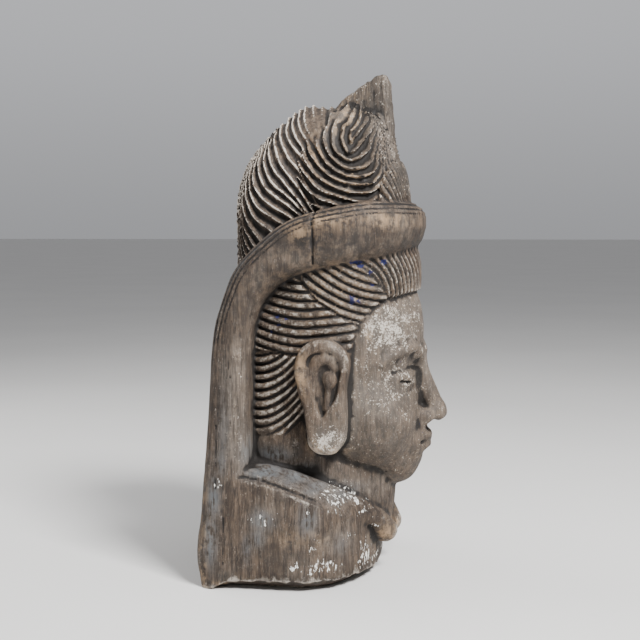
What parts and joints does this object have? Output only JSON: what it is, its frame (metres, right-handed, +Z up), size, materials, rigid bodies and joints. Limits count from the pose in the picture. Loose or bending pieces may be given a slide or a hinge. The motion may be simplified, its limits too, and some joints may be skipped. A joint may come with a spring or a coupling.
{
  "type": "carved wooden head",
  "caption": "Carved wooden head with a topknot, a rolled band and veil, long ears and small shoulders cut flat to stand on a table.",
  "frame": {"origin": "middle of the underside, under the centre of the bounding box", "axes": "+Z up, the face looks along -Y, +X is the figure's left"},
  "size_m": [0.188, 0.19, 0.404],
  "materials": {
    "weathered_wood": "bare weathered wood with traces of pale ground and paint"
  },
  "bodies": {
    "root": {"carved_head": "weathered_wood"}
  },
  "joints": []
}
